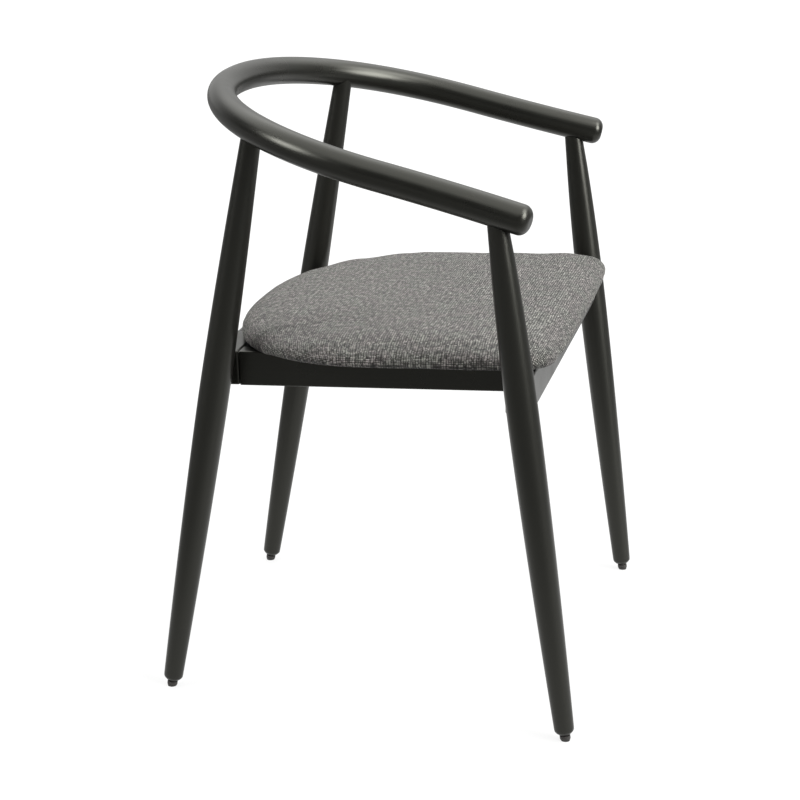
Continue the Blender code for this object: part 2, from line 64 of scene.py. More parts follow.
FLOOR_POINTS = {"rear": (0.2282, 0.2495), "front": (0.2888, -0.2489)}
TOP_POINTS = {"rear": (0.2216, 0.1305, 0.6982), "front": (0.3033, -0.1651, 0.6236)}
LEG_MAX_RADIUS = 0.0182
LEG_MAX_HEIGHT = 0.375
LEG_FOOT_RADIUS = 0.0113
LEG_TOP_RADIUS = {"rear": 0.0113, "front": 0.0108}
LEG_TOP_POWER = {"rear": 1.55, "front": 2.15}
LEG_FOOT_POWER = 1.6
LEG_FOOT_LIFT = 0.0084
LEG_CHAMFER = 0.0052
CHAMFER_STEPS = (0.0, 0.08, 0.30, 0.62, 0.88, 1.0)
CHAMFER_RISE = 1.35
CHAMFER_FALL = 1.25
LEG_BORE = (0.0053, 0.0343)             # radius and depth of the dowel bore in the top
FOOT_BORE = (0.0028, 0.0123)            # radius and depth of the bore for the glide's pin

FRAME_Z = 0.3852
FRAME_TILT = math.atan(0.030)
FRAME_HEIGHT = 0.042
REAR_RAIL_SPAN = (0.1625, 0.1925)
FRONT_RAIL_SPAN = (-0.2043, -0.1743)
SIDE_RAIL_OUTER = 0.194
SIDE_RAIL_THICKNESS = 0.024
TENON_HALF = (0.005, 0.014)
TENON_PAST_AXIS = 0.003
SCREW_FROM_CORNER = 0.023
SCREW_HOLE = 0.0026

SEAT_HALF_WIDTH = 0.2690
SEAT_FRONT_HALF_WIDTH = 0.2680
SEAT_BACK_Y = 0.1910
SEAT_FRONT_Y = -0.2235
SEAT_FRONT_BOW = 0.0060
SEAT_SHOULDER_Y = -0.0162
SEAT_BACK_POWER = 2.38
SEAT_CORNER_RADIUS = 0.042
SEAT_CENTRE_Y = -0.0165
SEAT_REACH = 0.2075
SEAT_EDGE_HEIGHT = 0.008
SEAT_SHOULDER_HEIGHT = 0.0308
SEAT_CROWN = 0.0062
SEAT_EDGE_POWER = 20
SEAT_UNDERSIDE = 0.0012
COVER_THICKNESS = 0.0012
COVER_HEM = 0.915
BOARD_SCALE = 0.955
BOARD_THICKNESS = 0.012
CLOTH_THICKNESS = 0.0006
CLOTH_SCALE = 0.93

# ---------------------------------------------------------------- sizes of the looks
RAIL_STATIONS = 170
RAIL_END_RINGS = 14
RAIL_SIDES = 40
LEG_SIDES = 40
LEG_RINGS = 56
THREAD_PITCH = 0.0029                   # of one yarn in the weave
WEAVE_RELIEF = 0.0010
WEAVE_WOBBLE = 0.9                      # how far the yarns wander, in yarns
YARN_ROUND = 0.7                        # power of the sine that rounds a yarn
YARN_DIP = 0.30                         # height left where a yarn goes under
YARN_STRIDE = 3.71                      # far enough in the noise for neighbour yarns to differ
YARN_RUN = 0.55                         # changes of tone along a yarn, for each yarn crossed
YARN_SHARE = 0.42                       # of each cause in the tone of the cloth
SLUB_SHARE = 0.42
PLY_SHARE = 0.16
# painted shade and light: share of the yarns' height in the tone, darker in the gaps and lighter on the
# tops
PAINTED_GAP_SHADE_SHARE = 0.24
MIDDLE_HEIGHT = 0.62
GRAIN_STRETCH = 0.03                    # of the wood's grain along the stick
SWELL_START = 0.0030                    # the pad starts this much too small
SWELL_CAP = 0.0032
PAD_VOXEL = 0.0050
SIM_FRAMES = 20
HELD_MARGIN = 0.0015                    # height of the underside that the swelling leaves in place
SMOOTH_ROUNDS = 18
FOAM_VOXEL = 0.007
EDGE_BAND = 0.025                       # width of the strip that turns over the pad's edge
PULL_SPACING = 0.034                    # between staples under the pad
PULL_DEPTH = 0.0006
FOLD_DEPTH = 0.0013
FOLD_WIDTH = 0.0035
CORNER_FOLDS = ((0.42, 0.7), (0.80, 1.0), (1.16, 0.8))      # place on the corner in radians, depth share
FOLD_INSIDE = 0.020                     # nearer than this to the corner's centre there is no fold
STAPLED_MARGIN = 0.003                  # height over which the stapled edge stops the handwork
UNEVENNESS = 0.0003
LUMPS_PER_METRE = (14.0, 34.0)          # of the uneven top, broad and small
CLOTH_SAG = 0.0025
SAG_REACH = 0.09                        # from a rail to where the lining hangs fully
LINING_RINGS = 34
FLOOR_HALF = 200.0


# ---------------------------------------------------------------- light
# Soft sources of the studio: direction, half angle of the full and of the fading part, radiance.
SOFT_BOXES = (
    ((0.10, 0.00, 1.00), 38.0, 66.0, 1.75),
    ((0.97, -0.06, 0.20), 36.0, 85.0, 0.62),
    ((-0.06, -0.66, 0.75), 8.0, 22.0, 6.0),
    ((-0.36, -0.86, 0.38), 10.0, 21.0, 15.0),
    ((-0.47, 0.78, 0.41), 7.0, 15.0, 13.0),
)
STUDIO_LEVEL = 0.085                    # radiance between the soft sources
FLOOR_SHADE = 0.12
FLOOR_GLOW = 0.82                       # of the floor, seen by the camera
POOL_CENTRE = (0.55, -0.25)             # the brightest place of the floor in what the chair mirrors
POOL_GLOW = 0.62
POOL_REACH = (0.60, 1.80)               # from its centre, where it begins to fade and where it ends


# ---------------------------------------------------------------- mesh helpers
def add_mesh(name, points, faces, material=None, sharp_angle=40.0):
    mesh = bpy.data.meshes.new(name)
    mesh.from_pydata([tuple(p) for p in points], [], faces)
    mesh.validate()
    mesh.update()
    mesh.shade_smooth()
    mesh.set_sharp_from_angle(angle=math.radians(sharp_angle))
    obj = bpy.data.objects.new(name, mesh)
    bpy.context.scene.collection.objects.link(obj)
    if material is not None:
        mesh.materials.append(material)
    return obj


def stack_faces(count, rings, closed_ends=True):
    """Faces of a stack of closed rings with count points each."""
    faces = []
    for i in range(rings - 1):
        for j in range(count):
            k = (j + 1) % count
            faces.append((i * count + j, i * count + k, (i + 1) * count + k, (i + 1) * count + j))
    if closed_ends:
        last = (rings - 1) * count
        faces.append(tuple(reversed(range(count))))
        faces.append(tuple(last + j for j in range(count)))
    return faces


def use_evaluated(obj):
    """Replace an object's mesh by what its modifiers make of it."""
    graph = bpy.context.evaluated_depsgraph_get()
    made = bpy.data.meshes.new_from_object(obj.evaluated_get(graph), depsgraph=graph)
    old = obj.data
    obj.modifiers.clear()
    obj.data = made
    bpy.data.meshes.remove(old)


def cut(obj, points, faces):
    cutter = add_mesh("cutter", points, faces)
    modifier = obj.modifiers.new("cut", "BOOLEAN")
    modifier.operation = "DIFFERENCE"
    modifier.solver = "EXACT"
    modifier.object = cutter
    use_evaluated(obj)
    bpy.data.objects.remove(cutter, do_unlink=True)


def store_grain(obj, coordinates):
    """Keep the place of each point in the straight stick that the piece was made from."""
    grain = obj.data.attributes.new("grain", "FLOAT_VECTOR", "POINT")
    grain.data.foreach_set("vector", np.asarray(coordinates, np.float32).ravel())


def seat_point(x, along, up):
    """Chair coordinates of a point given in the plane of the tilted seat frame."""
    cosine, sine = math.cos(FRAME_TILT), math.sin(FRAME_TILT)
    return Vector((x, along * cosine + up * sine, FRAME_Z - along * sine + up * cosine))


def seat_coordinates(points):
    """The opposite of seat_point, for an array of points."""
    cosine, sine = math.cos(FRAME_TILT), math.sin(FRAME_TILT)
    y, z = points[:, 1], points[:, 2] - FRAME_Z
    return np.column_stack([points[:, 0], y * cosine - z * sine, y * sine + z * cosine])


def from_seat(points):
    cosine, sine = math.cos(FRAME_TILT), math.sin(FRAME_TILT)
    x, along, up = points.T
    return np.column_stack([x, along * cosine + up * sine, FRAME_Z - along * sine + up * cosine])


def seat_prism(outline, low, high):
    points = [seat_point(x, y, h) for h in (low, high) for x, y in outline]
    return points, stack_faces(len(outline), 2)


# ---------------------------------------------------------------- node helpers
class Graph:
    """Short names for the shader nodes that a material or the world needs."""

    def __init__(self, owner, shader="Principled BSDF"):
        owner.use_nodes = True
        self.owner = owner
        self.tree = owner.node_tree
        self.shader = self.tree.nodes[shader]

    def put(self, socket, value):
        if isinstance(value, bpy.types.NodeSocket):
            self.tree.links.new(value, socket)
        else:
            socket.default_value = value

    def node(self, kind):
        return self.tree.nodes.new("ShaderNode" + kind)

    def math(self, operation, *values):
        node = self.node("Math")
        node.operation = operation
        for socket, value in zip(node.inputs, values):
            self.put(socket, value)
        return node.outputs[0]

    def plus(self, first, second):
        return self.math("ADD", first, second)

    def minus(self, first, second):
        return self.math("SUBTRACT", first, second)

    def times(self, first, second):
        return self.math("MULTIPLY", first, second)

    def mix(self, share, low, high):
        """low where share is 0 and high where it is 1, for numbers."""
        return self.plus(self.times(self.minus(high, low), share), low)

    def smooth_step(self, value, low, high):
        """0 below low and 1 above high, with a smooth change between."""
        node = self.node("MapRange")
        node.interpolation_type = "SMOOTHSTEP"
        self.put(node.inputs["Value"], value)
        node.inputs["From Min"].default_value = low
        node.inputs["From Max"].default_value = high
        return node.outputs[0]

    def vector(self, x, y, z):
        node = self.node("CombineXYZ")
        for socket, value in zip(node.inputs, (x, y, z)):
            self.put(socket, value)
        return node.outputs[0]

    def parts(self, vector):
        node = self.node("SeparateXYZ")
        self.put(node.inputs[0], vector)
        return node.outputs

    def scaled(self, vector, scale):
        node = self.node("Mapping")
        self.put(node.inputs["Vector"], vector)
        node.inputs["Scale"].default_value = scale
        return node.outputs[0]

    def noise(self, vector, scale, detail=2.0, roughness=0.5):
        node = self.node("TexNoise")
        self.put(node.inputs["Vector"], vector)
        node.inputs["Scale"].default_value = scale
        node.inputs["Detail"].default_value = detail
        node.inputs["Roughness"].default_value = roughness
        return node.outputs[0]

    def ramp(self, value, stops):
        node = self.node("ValToRGB")
        self.put(node.inputs[0], value)
        elements = node.color_ramp.elements
        while len(elements) < len(stops):
            elements.new(0.5)
        for element, (position, colour) in zip(elements, stops):
            element.position = position
            element.color = (*colour, 1.0)
        return node.outputs[0]

    def tint(self, colour, other, share):
        node = self.node("Mix")
        node.data_type = "RGBA"
        node.blend_type = "MULTIPLY"
        self.put(node.inputs[0], share)
        self.put(node.inputs[6], colour)
        self.put(node.inputs[7], other)
        return node.outputs[2]

    def bump(self, height, distance, strength=1.0):
        node = self.node("Bump")
        node.inputs["Strength"].default_value = strength
        node.inputs["Distance"].default_value = distance
        self.put(node.inputs["Height"], height)
        self.put(self.shader.inputs["Normal"], node.outputs[0])

    def attribute(self, name):
        node = self.node("Attribute")
        node.attribute_name = name
        return node.outputs["Vector"]

    def object_place(self):
        return self.node("TexCoord").outputs["Object"]

    def weave_place(self):
        node = self.node("UVMap")
        node.uv_map = "weave"
        return node.outputs[0]

    def set(self, name, value):
        self.put(self.shader.inputs[name], value)


# ---------------------------------------------------------------- materials
def material_graph(name):
    return Graph(bpy.data.materials.new(name))


def lacquer_material(name, along):
    """Black satin lacquer over wood; along is None for pieces that carry a grain attribute."""
    graph = material_graph(name)
    if along is None:
        place = graph.attribute("grain")
        stretch = (1.0, 1.0, GRAIN_STRETCH)
    else:
        place = graph.object_place()
        stretch = tuple(GRAIN_STRETCH if axis == along else 1.0 for axis in "xyz")
    grain = graph.noise(graph.scaled(place, stretch), 1100.0, 3.0, 0.6)
    cloudy = graph.noise(place, 22.0, 2.0)
    colour = graph.ramp(grain, [(0.30, (0.0034, 0.0035, 0.0030)), (0.70, (0.0068, 0.0068, 0.0059))])
    graph.set("Base Color", colour)
    graph.set("Roughness", graph.mix(cloudy, 0.22, 0.36))
    graph.set("Specular IOR Level", 0.5)
    graph.set("Specular Tint", (1.0, 1.0, 0.90, 1.0))
    graph.bump(grain, 0.00006, 0.6)
    return graph.owner


def weave_material():
    """Chunky plain weave of mixed grey yarns, with painted shade in the gaps between yarns and painted
    light on the yarn tops.
    """
    graph = material_graph("grey_weave")
    place = graph.weave_place()
    wobble = graph.times(graph.minus(graph.noise(place, 70.0), 0.5), WEAVE_WOBBLE)
    u, v, _ = graph.parts(graph.scaled(place, (1.0 / THREAD_PITCH,) * 3))
    u = graph.plus(u, wobble)
    v = graph.minus(v, wobble)
    warp_id, weft_id = graph.math("FLOOR", u), graph.math("FLOOR", v)
    across_warp = graph.math("SINE", graph.times(graph.math("FRACT", u), math.pi))
    across_weft = graph.math("SINE", graph.times(graph.math("FRACT", v), math.pi))
    weft_on_top = graph.math("FLOORED_MODULO", graph.plus(warp_id, weft_id), 2.0)
    warp_high = graph.times(graph.math("POWER", across_warp, YARN_ROUND),
                            graph.mix(across_weft, YARN_DIP, 1.0))
    weft_high = graph.times(graph.math("POWER", across_weft, YARN_ROUND),
                            graph.mix(across_warp, YARN_DIP, 1.0))
    height = graph.mix(weft_on_top, warp_high, weft_high)

    warp_place = graph.vector(graph.times(warp_id, YARN_STRIDE), graph.times(v, YARN_RUN), 7.0)
    weft_place = graph.vector(graph.times(u, YARN_RUN), graph.times(weft_id, YARN_STRIDE), 23.0)
    warp_tone = graph.noise(warp_place, 1.0, 1.0)
    weft_tone = graph.plus(graph.noise(weft_place, 1.0, 1.0), 0.05)
    yarn = graph.mix(weft_on_top, warp_tone, weft_tone)
    slub_place = graph.vector(graph.times(u, 0.30), graph.times(v, 0.75), 3.0)
    slub = graph.noise(slub_place, 1.0, 2.0)
    warp_ply = graph.noise(graph.scaled(graph.vector(u, v, 0.0), (5.0, 1.1, 1.0)), 1.0, 1.0)
    weft_ply = graph.noise(graph.scaled(graph.vector(u, v, 5.0), (1.1, 5.0, 1.0)), 1.0, 1.0)
    ply = graph.mix(weft_on_top, warp_ply, weft_ply)
    tone = graph.times(yarn, YARN_SHARE)
    for share, part in ((SLUB_SHARE, slub), (PLY_SHARE, ply)):
        tone = graph.plus(tone, graph.times(part, share))
    # painted shade and light: the tone follows the yarns' height, darker in the gaps and lighter on the
    # yarn tops
    tone = graph.plus(tone, graph.times(graph.minus(height, MIDDLE_HEIGHT), PAINTED_GAP_SHADE_SHARE))
    colour = graph.ramp(tone, [
        (0.30, (0.009, 0.009, 0.009)),
        (0.42, (0.028, 0.027, 0.026)),
        (0.52, (0.078, 0.075, 0.071)),
        (0.64, (0.260, 0.252, 0.237)),
    ])
    cast = graph.noise(place, 34.0, 1.0)
    patches = graph.ramp(cast, [(0.40, (1.0, 0.93, 0.95)), (0.60, (0.95, 1.0, 0.94))])
    graph.set("Base Color", graph.tint(colour, patches, 0.6))
    graph.set("Roughness", 0.92)
    graph.set("Specular IOR Level", 0.25)
    graph.set("Sheen Weight", 0.12)
    graph.set("Sheen Roughness", 0.5)
    graph.bump(height, WEAVE_RELIEF)
    return graph.owner


def nylon_material():
    graph = material_graph("black_nylon")
    speckle = graph.noise(graph.object_place(), 900.0, 2.0)
    colour = graph.ramp(speckle, [(0.35, (0.014, 0.013, 0.012)), (0.65, (0.026, 0.023, 0.021))])
    graph.set("Base Color", colour)
    graph.set("Roughness", graph.mix(speckle, 0.38, 0.55))
    graph.bump(speckle, 0.00004, 0.5)
    return graph.owner


def bare_wood_material():
    graph = material_graph("plain_wood")
    place = graph.object_place()
    rings = graph.noise(graph.scaled(place, (0.12, 1.0, 1.0)), 160.0, 3.0, 0.6)
    colour = graph.ramp(rings, [(0.35, (0.42, 0.28, 0.15)), (0.65, (0.62, 0.46, 0.29))])
    graph.set("Base Color", colour)
    graph.set("Roughness", graph.mix(rings, 0.55, 0.7))
    graph.bump(rings, 0.0001, 0.5)
    return graph.owner


def foam_material():
    graph = material_graph("white_foam")
    cells = graph.noise(graph.object_place(), 700.0, 3.0, 0.7)
    colour = graph.ramp(cells, [(0.35, (0.62, 0.58, 0.46)), (0.60, (0.82, 0.79, 0.69))])
    graph.set("Base Color", colour)
    graph.set("Roughness", 0.95)
    graph.bump(cells, 0.0006, 0.8)
    return graph.owner


def lining_material():
    """Bonded black lining, with its fine fibres."""
    graph = material_graph("black_lining")
    place = graph.object_place()
    fibres = graph.noise(graph.scaled(place, (1.0, 0.35, 1.0)), 1400.0, 3.0, 0.7)
    colour = graph.ramp(fibres, [(0.35, (0.010, 0.010, 0.011)), (0.65, (0.034, 0.034, 0.036))])
    graph.set("Base Color", colour)
    graph.set("Roughness", graph.mix(fibres, 0.80, 0.98))
    graph.set("Sheen Weight", 0.1)
    graph.bump(fibres, 0.0002, 0.7)
    return graph.owner


def steel_material():
    graph = material_graph("zinc_steel")
    streaks = graph.noise(graph.object_place(), 500.0, 2.0)
    colour = graph.ramp(streaks, [(0.35, (0.50, 0.50, 0.48)), (0.65, (0.66, 0.66, 0.63))])
    graph.set("Base Color", colour)
    graph.set("Metallic", 1.0)
    graph.set("Roughness", graph.mix(streaks, 0.28, 0.42))
    return graph.owner


# ---------------------------------------------------------------- bent rail
def rail_line():
    """Middle line of the bent rail from the right arm to the left, with the run along it."""
    plan = []
    for angle in np.linspace(0.0, math.pi / 2.0, 400):
        x = RAIL_HALF_WIDTH * math.sin(angle) ** (2.0 / RAIL_BACK_POWER)
        reach = max(math.cos(angle), 0.0) ** (2.0 / RAIL_BACK_POWER)
        plan.append((x, RAIL_SHOULDER_Y + (RAIL_BACK_Y - RAIL_SHOULDER_Y) * reach))
    for t in np.linspace(0.0, 1.0, 140)[1:]:
        x = RAIL_HALF_WIDTH + (ARM_END[0] - RAIL_HALF_WIDTH) * t * t
        plan.append((x, RAIL_SHOULDER_Y + (ARM_END[1] - RAIL_SHOULDER_Y) * t))
    half = np.array([(x, y, ARM_END[2] + RAIL_SLOPE * (y - ARM_END[1])) for x, y in plan])
    whole = np.vstack([half[:0:-1] * (-1.0, 1.0, 1.0), half])
    steps = np.linalg.norm(np.diff(whole, axis=0), axis=1)
    return whole, np.concatenate([[0.0], np.cumsum(steps)])


def build_arm_rail(material):
    whole, run = rail_line()
    quarter = np.radians(np.linspace(90.0, 0.0, RAIL_END_RINGS + 1))[:-1]
    start = ARM_END_ROUNDING * (1.0 - np.sin(quarter))
    rounded = RAIL_RADIUS - ARM_END_ROUNDING * (1.0 - np.cos(quarter))
    middle = np.linspace(ARM_END_ROUNDING, run[-1] - ARM_END_ROUNDING, RAIL_STATIONS)
    stations = np.concatenate([start, middle, run[-1] - start[::-1]])
    radii = np.concatenate([rounded, np.full(RAIL_STATIONS, RAIL_RADIUS), rounded[::-1]])
    points = np.column_stack([np.interp(stations, run, whole[:, k]) for k in range(3)])
    tangents = np.gradient(points, axis=0)
    tangents[:2] = tangents[RAIL_END_RINGS]
    tangents[-2:] = tangents[-RAIL_END_RINGS - 1]
    normal = np.array([0.0, -RAIL_SLOPE, 1.0])
    normal /= np.linalg.norm(normal)
    rings, grain = [], []
    for point, tangent, radius, station in zip(points, tangents, radii, stations):
        side = np.cross(tangent, normal)
        side /= np.linalg.norm(side)
        for j in range(RAIL_SIDES):
            angle = 2.0 * math.pi * j / RAIL_SIDES
            a, b = radius * math.cos(angle), radius * math.sin(angle)
            rings.append(point + normal * a + side * b)
            grain.append((a, b, station))
    obj = add_mesh("bent_rail", rings, stack_faces(RAIL_SIDES, len(points)), material)
    store_grain(obj, grain)
    return obj


# ---------------------------------------------------------------- legs
def leg_axis(end, sign):
    x, y = FLOOR_POINTS[end]
    tx, ty, tz = TOP_POINTS[end]
    base = Vector((x * sign, y, 0.0))
    span = Vector((tx * sign, ty, tz)) - base
    return base, span.normalized(), span.length


def leg_radius(end, height):
    if height <= LEG_MAX_HEIGHT:
        share = (LEG_MAX_HEIGHT - height) / LEG_MAX_HEIGHT
        return LEG_MAX_RADIUS - (LEG_MAX_RADIUS - LEG_FOOT_RADIUS) * share ** LEG_FOOT_POWER
    share = (height - LEG_MAX_HEIGHT) / (TOP_POINTS[end][2] - LEG_MAX_HEIGHT)
    return LEG_MAX_RADIUS - (LEG_MAX_RADIUS - LEG_TOP_RADIUS[end]) * share ** LEG_TOP_POWER[end]


def distance_to_rail(points):
    whole, _ = rail_line()
    nearest = np.full(len(points), 1e9)
    for start in range(0, len(whole), 200):
        block = whole[start:start + 200]
        gaps = np.linalg.norm(points[:, None, :] - block[None, :, :], axis=2)
        nearest = np.minimum(nearest, gaps.min(axis=1))
    return nearest


def cope_distances(base, direction, offsets, length):
    """How far up the axis each line of the leg meets the underside of the bent rail."""
    low = np.full(len(offsets), length - 4.0 * RAIL_RADIUS)
    high = np.full(len(offsets), length)
    for _ in range(22):
        middle = (low + high) / 2.0
        clear = distance_to_rail(base + direction * middle[:, None] + offsets) > RAIL_RADIUS + GAP
        low = np.where(clear, middle, low)
        high = np.where(clear, high, middle)
    return low


def leg_rings(end, sign):
    """(kind, distance, radius) of each ring from the bore in the foot to the bore in the top."""
    _, direction, length = leg_axis(end, sign)
    foot = leg_radius(end, LEG_FOOT_LIFT * direction.z)
    rings = [("plain", LEG_FOOT_LIFT + FOOT_BORE[1], FOOT_BORE[0]), ("plain", LEG_FOOT_LIFT, FOOT_BORE[0])]
    for share in CHAMFER_STEPS:
        rings.append(("plain", LEG_FOOT_LIFT + LEG_CHAMFER * share ** CHAMFER_RISE,
                      foot - LEG_CHAMFER * (1.0 - share) ** CHAMFER_FALL))
    for distance in np.linspace(LEG_FOOT_LIFT + 1.6 * LEG_CHAMFER, length - 3.0 * RAIL_RADIUS, LEG_RINGS):
        rings.append(("plain", distance, leg_radius(end, distance * direction.z)))
    top = leg_radius(end, (length - RAIL_RADIUS) * direction.z)
    rings.append(("coped", 0.0, top))
    rings.append(("coped", 0.0, (top + LEG_BORE[0]) / 2.0))
    rings.append(("coped", 0.0, LEG_BORE[0]))
    rings.append(("plain", length - LEG_BORE[1], LEG_BORE[0]))
    return rings


def build_leg(end, side, material):
    """Turned leg, coped to the bent rail, with its bores and its mortise."""
    sign = SIDES[side]
    base, direction, length = leg_axis(end, sign)
    across = direction.orthogonal().normalized()
    other = direction.cross(across)
    angles = np.linspace(0.0, 2.0 * math.pi, LEG_SIDES, endpoint=False)
    spokes = np.outer(np.cos(angles), across) + np.outer(np.sin(angles), other)
    base, direction = np.array(base), np.array(direction)
    points, grain = [], []
    rings = leg_rings(end, sign)
    for kind, distance, radius in rings:
        distances = np.full(LEG_SIDES, distance)
        if kind == "coped":
            distances = cope_distances(base, direction, spokes * radius, length)
        points.extend(base + direction * distances[:, None] + spokes * radius)
        grain.extend(np.column_stack([np.cos(angles) * radius, np.sin(angles) * radius, distances]))
    leg = add_mesh(f"turned_leg_{end}_{side}", points, stack_faces(LEG_SIDES, len(rings)), material)
    store_grain(leg, grain)
    cut(leg, *mortise(end, sign))
    leg.data.set_sharp_from_angle(angle=math.radians(40.0))
    return leg


def mortise(end, sign):
    low, high = REAR_RAIL_SPAN if end == "rear" else FRONT_RAIL_SPAN
    middle = (low + high) / 2.0
    base, direction, _ = leg_axis(end, sign)
    normal = (seat_point(0.0, 0.0, 1.0) - seat_point(0.0, 0.0, 0.0)).normalized()
    origin = seat_point(0.0, 0.0, FRAME_HEIGHT / 2.0)
    axis_x = (base + direction * ((origin - base).dot(normal) / direction.dot(normal))).x
    opening = sign * (SIDE_RAIL_OUTER - CUT_MARGIN)
    bottom = sign * (abs(axis_x) + TENON_PAST_AXIS + GAP)
    x0, x1 = sorted((opening, bottom))
    half, rise = TENON_HALF[0] + GAP, TENON_HALF[1] + GAP
    outline = [(x0, middle - half), (x1, middle - half), (x1, middle + half), (x0, middle + half)]
    return seat_prism(outline, FRAME_HEIGHT / 2.0 - rise, FRAME_HEIGHT / 2.0 + rise)


# ---------------------------------------------------------------- seat shape
def seat_outline(steps):
    """Plan of the cushion, anticlockwise; steps is the number of points on a quarter of the back."""
    half = []
    for angle in np.linspace(0.0, math.pi / 2.0, steps):
        x = SEAT_HALF_WIDTH * math.sin(angle) ** (2.0 / SEAT_BACK_POWER)
        reach = max(math.cos(angle), 0.0) ** (2.0 / SEAT_BACK_POWER)
        half.append((x, SEAT_SHOULDER_Y + (SEAT_BACK_Y - SEAT_SHOULDER_Y) * reach))
    corner_x = SEAT_FRONT_HALF_WIDTH - SEAT_CORNER_RADIUS
    corner_y = SEAT_FRONT_Y + SEAT_CORNER_RADIUS
    for t in np.linspace(0.0, 1.0, steps // 2)[1:-1]:
        half.append((SEAT_HALF_WIDTH + (SEAT_FRONT_HALF_WIDTH - SEAT_HALF_WIDTH) * t,
                     SEAT_SHOULDER_Y + (corner_y - SEAT_SHOULDER_Y) * t))
    for angle in np.linspace(0.0, math.pi / 2.0, steps // 2):
        half.append((corner_x + SEAT_CORNER_RADIUS * math.cos(angle),
                     corner_y - SEAT_CORNER_RADIUS * math.sin(angle)))
    for t in np.linspace(0.0, 1.0, steps // 2)[1:]:
        half.append((corner_x * (1.0 - t), SEAT_FRONT_Y - SEAT_FRONT_BOW * (1.0 - (1.0 - t) ** 2)))
    mirrored = [(-x, y) for x, y in half[1:-1]]
    return list(reversed(half)) + mirrored


def scaled_outline(scale, steps=40):
    return [(x * scale, SEAT_CENTRE_Y + (y - SEAT_CENTRE_Y) * scale) for x, y in seat_outline(steps)]


def pad_height(scale, shrink):
    """Height over the frame of the top of the pad at a share of its plan size."""
    dome = math.sqrt(max(0.0, 1.0 - scale ** SEAT_EDGE_POWER))
    return (SEAT_EDGE_HEIGHT + (SEAT_SHOULDER_HEIGHT - SEAT_EDGE_HEIGHT - shrink) * dome
            + SEAT_CROWN * (1.0 - scale * scale))


def pad_profile(inset):
    """(share of the plan, height over the frame) from the hem up the side and over the top."""
    smaller = inset / SEAT_REACH
    low = SEAT_UNDERSIDE
    profile = [(COVER_HEM - smaller, low), (0.972 - smaller, low),
               (0.992 - smaller, low + (SEAT_EDGE_HEIGHT - low) * 0.35)]
    for scale in (1.0, 0.998, 0.993, 0.984, 0.97, 0.945, 0.91, 0.86, 0.78, 0.66, 0.50, 0.32, 0.12):
        profile.append((scale - smaller * scale, pad_height(scale, inset)))
    return profile


def closed_pad(name, inset):
    rings = [(0.5, SEAT_UNDERSIDE)] + pad_profile(inset)
    points = []
    for scale, height in rings:
        points.extend(seat_point(x, y, FRAME_HEIGHT + height) for x, y in scaled_outline(scale))
    return add_mesh(name, points, stack_faces(len(seat_outline(40)), len(rings)))


# ---------------------------------------------------------------- pad by simulation
def coordinates(mesh):
    values = np.zeros(len(mesh.vertices) * 3, np.float32)
    mesh.vertices.foreach_get("co", values)
    return values.reshape(-1, 3).astype(float)


def set_coordinates(mesh, points):
    mesh.vertices.foreach_set("co", np.asarray(points, np.float32).ravel())
    mesh.update()


def swell(obj):
    """Blow the pad up under its cover; the stapled underside stays where it is."""
    start = coordinates(obj.data)
    local = seat_coordinates(start)
    held = obj.vertex_groups.new(name="held")
    fixed = np.where(local[:, 2] < FRAME_HEIGHT + SEAT_UNDERSIDE + HELD_MARGIN)[0]
    held.add([int(i) for i in fixed], 1.0, "REPLACE")
    cloth = obj.modifiers.new("cloth", "CLOTH")
    cloth.settings.quality = 6
    cloth.settings.mass = 0.25
    cloth.settings.use_pressure = True
    cloth.settings.uniform_pressure_force = 4.0
    cloth.settings.tension_stiffness = 30.0
    cloth.settings.compression_stiffness = 30.0
    cloth.settings.shear_stiffness = 12.0
    cloth.settings.bending_stiffness = 1.5
    cloth.settings.vertex_group_mass = "held"
    cloth.settings.effector_weights.gravity = 0.0
    cloth.point_cache.frame_start = 1
    cloth.point_cache.frame_end = SIM_FRAMES
    for number in range(1, SIM_FRAMES + 1):
        bpy.context.scene.frame_set(number)
        bpy.context.view_layer.update()
    use_evaluated(obj)
    bpy.context.scene.frame_set(1)
    moved = coordinates(obj.data) - start
    length = np.linalg.norm(moved, axis=1)
    share = np.minimum(1.0, SWELL_CAP / np.maximum(length, 1e-9))
    set_coordinates(obj.data, start + moved * share[:, None])


def remesh(obj, voxel):
    modifier = obj.modifiers.new("remesh", "REMESH")
    modifier.mode = "VOXEL"
    modifier.voxel_size = voxel
    use_evaluated(obj)


def smooth_and_subdivide(obj):
    soft = obj.modifiers.new("soft", "SMOOTH")
    soft.factor = 0.5
    soft.iterations = SMOOTH_ROUNDS
    finer = obj.modifiers.new("finer", "SUBSURF")
    finer.levels = 1
    finer.render_levels = 1
    use_evaluated(obj)


def fit_to_plan(local):
    """Bring the swollen and smoothed pad back to the width, depth and height of the seat."""
    low, high = local.min(axis=0), local.max(axis=0)
    wanted_low = np.array([-SEAT_HALF_WIDTH, SEAT_FRONT_Y - SEAT_FRONT_BOW, FRAME_HEIGHT + SEAT_UNDERSIDE])
    wanted_high = np.array([SEAT_HALF_WIDTH, SEAT_BACK_Y, FRAME_HEIGHT + SEAT_SHOULDER_HEIGHT + SEAT_CROWN])
    return wanted_low + (local - low) * (wanted_high - wanted_low) / (high - low)


def build_pad_form():
    """The shape of the finished seat pad, closed below."""
    form = closed_pad("pad_form", SWELL_START)
    remesh(form, PAD_VOXEL)
    swell(form)
    smooth_and_subdivide(form)
    local = fit_to_plan(seat_coordinates(coordinates(form.data)))
    set_coordinates(form.data, from_seat(handwork(local)))
    return form


